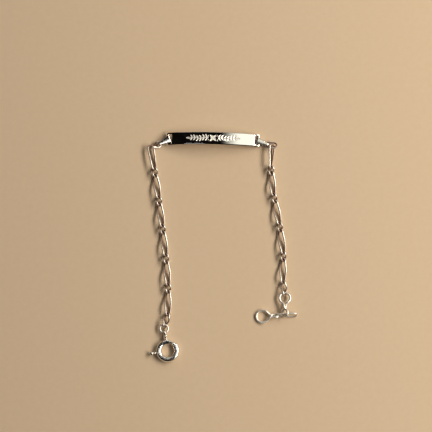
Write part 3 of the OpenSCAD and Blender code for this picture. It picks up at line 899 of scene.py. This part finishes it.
def build_bolt(at):
    """The bolt: a round bar with domed ends inside the tube, a collar on its stem and a knob."""
    dome = np.degrees(BOLT_R / CLASP_R)
    steps = np.array([0, .06, .2, .4, .65, 1.0])
    angle = np.concatenate([BOLT_FROM + dome * steps, np.arange(BOLT_FROM + dome + 4, BOLT_TO - 5, 4.0),
                            [BOLT_TO - 2, BOLT_TO]])
    along = np.clip((angle - BOLT_FROM) / dome, 0, 1)
    r = BOLT_R * np.sqrt(np.clip(1 - (1 - along) ** 2, 0.02, 1))
    path = ring_place(at, angle, np.full_like(angle, CLASP_R), 0 * angle, 0 * angle)
    across = ring_place(0 * at, angle, np.ones_like(angle), 0 * angle, 0 * angle)
    bar = sweep(path, across, r[:, None, None] * circle(1.0, 24)[None], closed=False)
    out = direction(TRIGGER_ANGLE)
    a = np.radians(np.linspace(-158, -4, 20))
    ball = np.stack([TRIGGER_REACH + KNOB_R * np.cos(a), -KNOB_R * np.sin(a)], -1)
    stations = np.concatenate([STEM, ball])
    trigger = lathe(at, out, np.array([0, 0, 1.0]), stations)
    return [bar, trigger]


def build_clasp(at):
    """Bolt ring and bolt, the bolt on its own body."""
    tube = build_tube(at)
    make_piece("bolt_ring_tube", [tube] + build_eye(at), CLASP_SILVER, BODY, ["bolt_ring"],
               weld=1e-5)
    make_piece("bolt_and_trigger", build_bolt(at), CLASP_SILVER, "bolt", ["bolt"])


# The whole bracelet
build_plate()
for bail in BAILS:
    build_bail(*bail)
left_end = build_chain("left", BAILS[0], LEFT)
right_end = build_chain("right", BAILS[1], RIGHT)
jump_at = left_end + direction(LEFT[-1][1]) * (JUMP_R - JUMP_PAST) + np.array([0, 0, JUMP_Z])
build_jump_ring(jump_at)
clasp_at = jump_at - direction(EYE_ANGLE) * (JUMP_R + JUMP_PLAY + EYE_REACH)
clasp_at[2] = TUBE_R
build_clasp(clasp_at)
build_right_end(right_end, RIGHT[-1][1])


# Floor, lights and camera
# Half size and height of the floor in metres, and the two tones of its fine mottling
FLOOR_HALF, FLOOR_Z = 2.0, -0.00003
FLOOR_TONES = {"A": (0.64, 0.49, 0.34, 1), "B": (0.68, 0.53, 0.38, 1)}


def pale_floor():
    """A wide plain floor just under the bracelet, in a warm pale tone with a fine tooth."""
    mesh = bpy.data.meshes.new("floor")
    corners = [(x * FLOOR_HALF, y * FLOOR_HALF, FLOOR_Z) for x, y in ((-1, -1), (1, -1), (1, 1), (-1, 1))]
    mesh.from_pydata(corners, [], [(0, 1, 2, 3)])
    material = bpy.data.materials.new("warm pale card")
    material.use_nodes = True
    tree = material.node_tree
    shader = tree.nodes["Principled BSDF"]
    shader.inputs["Roughness"].default_value = 0.9
    shader.inputs["Specular IOR Level"].default_value = 0.2
    place = tree.nodes.new("ShaderNodeTexCoord").outputs["Object"]
    colour = tree.nodes.new("ShaderNodeMix")
    colour.data_type = "RGBA"
    for label, tone in FLOOR_TONES.items():
        colour.inputs[label].default_value = tone
    tree.links.new(noise(tree, place, 700.0, 3.0), colour.inputs["Factor"])
    tree.links.new(colour.outputs["Result"], shader.inputs["Base Color"])
    mesh.materials.append(material)
    floor = bpy.data.objects.new("floor", mesh)
    bpy.context.scene.collection.objects.link(floor)


def area_light(name, over_x, over_y, distance, size, power, colour, fade):
    """A rectangular light aimed at the bracelet from the given angles off the vertical.

    Its direction is (cos b sin a, sin b, cos b cos a), with a towards +X and b towards +Y, and its
    first side runs along growing a. fade is the part of that side over which it brightens."""
    data = bpy.data.lights.new(name, "AREA")
    data.shape = "RECTANGLE"
    data.size, data.size_y = size
    data.energy = power
    data.color = colour
    if fade:
        data.use_nodes = True
        tree = data.node_tree
        parts = tree.nodes.new("ShaderNodeSeparateXYZ")
        tree.links.new(tree.nodes.new("ShaderNodeNewGeometry").outputs["Parametric"], parts.inputs[0])
        tree.links.new(ramp(tree, parts.outputs[0], 0.0, fade), tree.nodes["Emission"].inputs["Strength"])
    a, b = math.radians(over_x), math.radians(over_y)
    back = Vector((math.cos(b) * math.sin(a), math.sin(b), math.cos(b) * math.cos(a)))
    along = Vector((math.cos(a), 0, -math.sin(a)))
    lamp = bpy.data.objects.new(name, data)
    turn = Matrix((along, back.cross(along), back)).transposed()
    lamp.matrix_world = Matrix.Translation(Vector(AIM) + back * distance) @ turn.to_4x4()
    bpy.context.scene.collection.objects.link(lamp)


# Name, angles towards +X and +Y, distance and sides in metres, watts, colour, fade
LIGHTS = [
    ("key", 50, 3, 0.6, (0.17, 0.8), 5.2, (1.0, 0.92, 0.80), 0.0),
    ("softbox", 38, 13, 0.5, (0.58, 0.10), 0.21, (1.0, 0.98, 0.86), 0.3),
    ("bail_light", -17, 0, 0.5, (0.16, 0.08), 0.09, (1.0, 0.97, 0.95), 0.0),
    ("back_panel", 4, 54, 0.5, (0.5, 0.2), 0.4, (1.0, 0.93, 0.82), 0.0),
]
# What the lights and the camera are aimed at, and the camera's distance, height angle and lens
AIM = np.array([-1.53, 8.2, 0]) * MM
CAMERA_DISTANCE, CAMERA_TILT = 571.0 * MM, math.radians(80)
CAMERA_SENSOR, CAMERA_LENS = 36.0, 180.8

pale_floor()
for light in LIGHTS:
    area_light(*light)

world = bpy.data.worlds.new("dark room")
world.use_nodes = True
world.node_tree.nodes["Background"].inputs["Color"].default_value = (0.003, 0.0026, 0.0023, 1)
bpy.context.scene.world = world

camera_data = bpy.data.cameras.new("camera")
camera_data.sensor_width = CAMERA_SENSOR
camera_data.lens = CAMERA_LENS
camera_data.clip_start, camera_data.clip_end = 0.01, 10.0
camera = bpy.data.objects.new("camera", camera_data)
camera.location = AIM + CAMERA_DISTANCE * np.array([0, -math.cos(CAMERA_TILT), math.sin(CAMERA_TILT)])
camera.rotation_euler = (math.radians(90) - CAMERA_TILT, 0, 0)
bpy.context.scene.collection.objects.link(camera)
bpy.context.scene.camera = camera
bpy.context.scene.view_settings.view_transform = "Standard"
